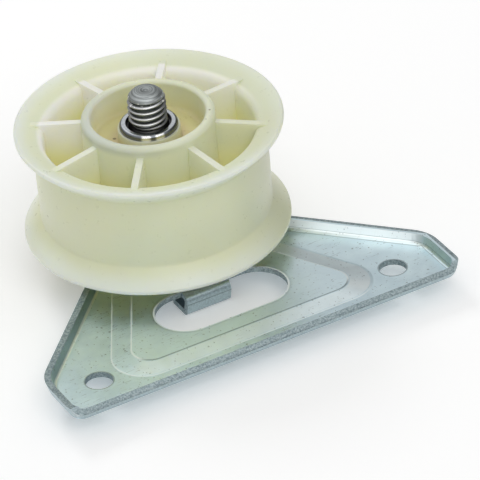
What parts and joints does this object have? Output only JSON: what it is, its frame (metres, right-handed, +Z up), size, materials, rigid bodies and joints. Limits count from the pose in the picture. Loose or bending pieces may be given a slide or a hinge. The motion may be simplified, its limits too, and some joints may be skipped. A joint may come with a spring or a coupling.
{
  "type": "dryer idler pulley",
  "caption": "Flanged nylon belt pulley on a needle bearing and threaded stud, carried by a triangular pressed-steel bracket with a slot, a catch and two mounting holes.",
  "frame": {"origin": "midway between the two mounting holes, on the underside of the bracket sheet", "axes": "+Z up along the stud and the hole axes, +X along the line of the two holes, +Y from the holes towards the pulley"},
  "size_m": [0.1065, 0.0882, 0.0488],
  "materials": {
    "zinc_plated_sheet": "satin",
    "stud_steel": "satin",
    "polished_steel": "gloss",
    "cage_steel": "satin",
    "nylon": "satin"
  },
  "bodies": {
    "bracket": {"bracket": "zinc_plated_sheet", "stud": "stud_steel", "spacer": "stud_steel"},
    "pulley_wheel": {"pulley_wheel": "nylon", "bearing_cup": "polished_steel"},
    "bearing_cage": {"bearing_cage": "cage_steel"},
    "needle_roller_01": {"needle_roller_01": "polished_steel"},
    "needle_roller_02": {"needle_roller_02": "polished_steel"},
    "needle_roller_03": {"needle_roller_03": "polished_steel"},
    "needle_roller_04": {"needle_roller_04": "polished_steel"},
    "needle_roller_05": {"needle_roller_05": "polished_steel"},
    "needle_roller_06": {"needle_roller_06": "polished_steel"},
    "needle_roller_07": {"needle_roller_07": "polished_steel"},
    "needle_roller_08": {"needle_roller_08": "polished_steel"},
    "needle_roller_09": {"needle_roller_09": "polished_steel"},
    "needle_roller_10": {"needle_roller_10": "polished_steel"},
    "needle_roller_11": {"needle_roller_11": "polished_steel"},
    "needle_roller_12": {"needle_roller_12": "polished_steel"},
    "needle_roller_13": {"needle_roller_13": "polished_steel"},
    "needle_roller_14": {"needle_roller_14": "polished_steel"},
    "needle_roller_15": {"needle_roller_15": "polished_steel"}
  },
  "joints": [
    {"name": "wheel_spin", "type": "hinge", "parent": "bracket", "child": "pulley_wheel", "pos_m": [0, 0.0441, 0.0231], "axis": [0, 0, 1], "continuous": true},
    {"name": "cage_spin", "type": "hinge", "parent": "bracket", "child": "bearing_cage", "pos_m": [0, 0.0441, 0.0231], "axis": [0, 0, 1], "continuous": true},
    {"name": "needle_roller_01_spin", "type": "hinge", "parent": "bearing_cage", "child": "needle_roller_01", "pos_m": [0.00556, 0.0441, 0.0231], "axis": [0, 0, 1], "continuous": true},
    {"name": "needle_roller_02_spin", "type": "hinge", "parent": "bearing_cage", "child": "needle_roller_02", "pos_m": [0.00508, 0.04636, 0.0231], "axis": [0, 0, 1], "continuous": true},
    {"name": "needle_roller_03_spin", "type": "hinge", "parent": "bearing_cage", "child": "needle_roller_03", "pos_m": [0.00372, 0.04823, 0.0231], "axis": [0, 0, 1], "continuous": true},
    {"name": "needle_roller_04_spin", "type": "hinge", "parent": "bearing_cage", "child": "needle_roller_04", "pos_m": [0.00172, 0.04939, 0.0231], "axis": [0, 0, 1], "continuous": true},
    {"name": "needle_roller_05_spin", "type": "hinge", "parent": "bearing_cage", "child": "needle_roller_05", "pos_m": [-0.00058, 0.04963, 0.0231], "axis": [0, 0, 1], "continuous": true},
    {"name": "needle_roller_06_spin", "type": "hinge", "parent": "bearing_cage", "child": "needle_roller_06", "pos_m": [-0.00278, 0.04891, 0.0231], "axis": [0, 0, 1], "continuous": true},
    {"name": "needle_roller_07_spin", "type": "hinge", "parent": "bearing_cage", "child": "needle_roller_07", "pos_m": [-0.0045, 0.04737, 0.0231], "axis": [0, 0, 1], "continuous": true},
    {"name": "needle_roller_08_spin", "type": "hinge", "parent": "bearing_cage", "child": "needle_roller_08", "pos_m": [-0.00544, 0.04526, 0.0231], "axis": [0, 0, 1], "continuous": true},
    {"name": "needle_roller_09_spin", "type": "hinge", "parent": "bearing_cage", "child": "needle_roller_09", "pos_m": [-0.00544, 0.04294, 0.0231], "axis": [0, 0, 1], "continuous": true},
    {"name": "needle_roller_10_spin", "type": "hinge", "parent": "bearing_cage", "child": "needle_roller_10", "pos_m": [-0.0045, 0.04083, 0.0231], "axis": [0, 0, 1], "continuous": true},
    {"name": "needle_roller_11_spin", "type": "hinge", "parent": "bearing_cage", "child": "needle_roller_11", "pos_m": [-0.00278, 0.03929, 0.0231], "axis": [0, 0, 1], "continuous": true},
    {"name": "needle_roller_12_spin", "type": "hinge", "parent": "bearing_cage", "child": "needle_roller_12", "pos_m": [-0.00058, 0.03857, 0.0231], "axis": [0, 0, 1], "continuous": true},
    {"name": "needle_roller_13_spin", "type": "hinge", "parent": "bearing_cage", "child": "needle_roller_13", "pos_m": [0.00172, 0.03881, 0.0231], "axis": [0, 0, 1], "continuous": true},
    {"name": "needle_roller_14_spin", "type": "hinge", "parent": "bearing_cage", "child": "needle_roller_14", "pos_m": [0.00372, 0.03997, 0.0231], "axis": [0, 0, 1], "continuous": true},
    {"name": "needle_roller_15_spin", "type": "hinge", "parent": "bearing_cage", "child": "needle_roller_15", "pos_m": [0.00508, 0.04184, 0.0231], "axis": [0, 0, 1], "continuous": true}
  ],
  "couplings": [
    {"joint": "cage_spin", "follows": "wheel_spin", "ratio": 0.5716},
    {"joint": "needle_roller_01_spin", "follows": "wheel_spin", "ratio": 3.419},
    {"joint": "needle_roller_02_spin", "follows": "wheel_spin", "ratio": 3.419},
    {"joint": "needle_roller_03_spin", "follows": "wheel_spin", "ratio": 3.419},
    {"joint": "needle_roller_04_spin", "follows": "wheel_spin", "ratio": 3.419},
    {"joint": "needle_roller_05_spin", "follows": "wheel_spin", "ratio": 3.419},
    {"joint": "needle_roller_06_spin", "follows": "wheel_spin", "ratio": 3.419},
    {"joint": "needle_roller_07_spin", "follows": "wheel_spin", "ratio": 3.419},
    {"joint": "needle_roller_08_spin", "follows": "wheel_spin", "ratio": 3.419},
    {"joint": "needle_roller_09_spin", "follows": "wheel_spin", "ratio": 3.419},
    {"joint": "needle_roller_10_spin", "follows": "wheel_spin", "ratio": 3.419},
    {"joint": "needle_roller_11_spin", "follows": "wheel_spin", "ratio": 3.419},
    {"joint": "needle_roller_12_spin", "follows": "wheel_spin", "ratio": 3.419},
    {"joint": "needle_roller_13_spin", "follows": "wheel_spin", "ratio": 3.419},
    {"joint": "needle_roller_14_spin", "follows": "wheel_spin", "ratio": 3.419},
    {"joint": "needle_roller_15_spin", "follows": "wheel_spin", "ratio": 3.419}
  ]
}
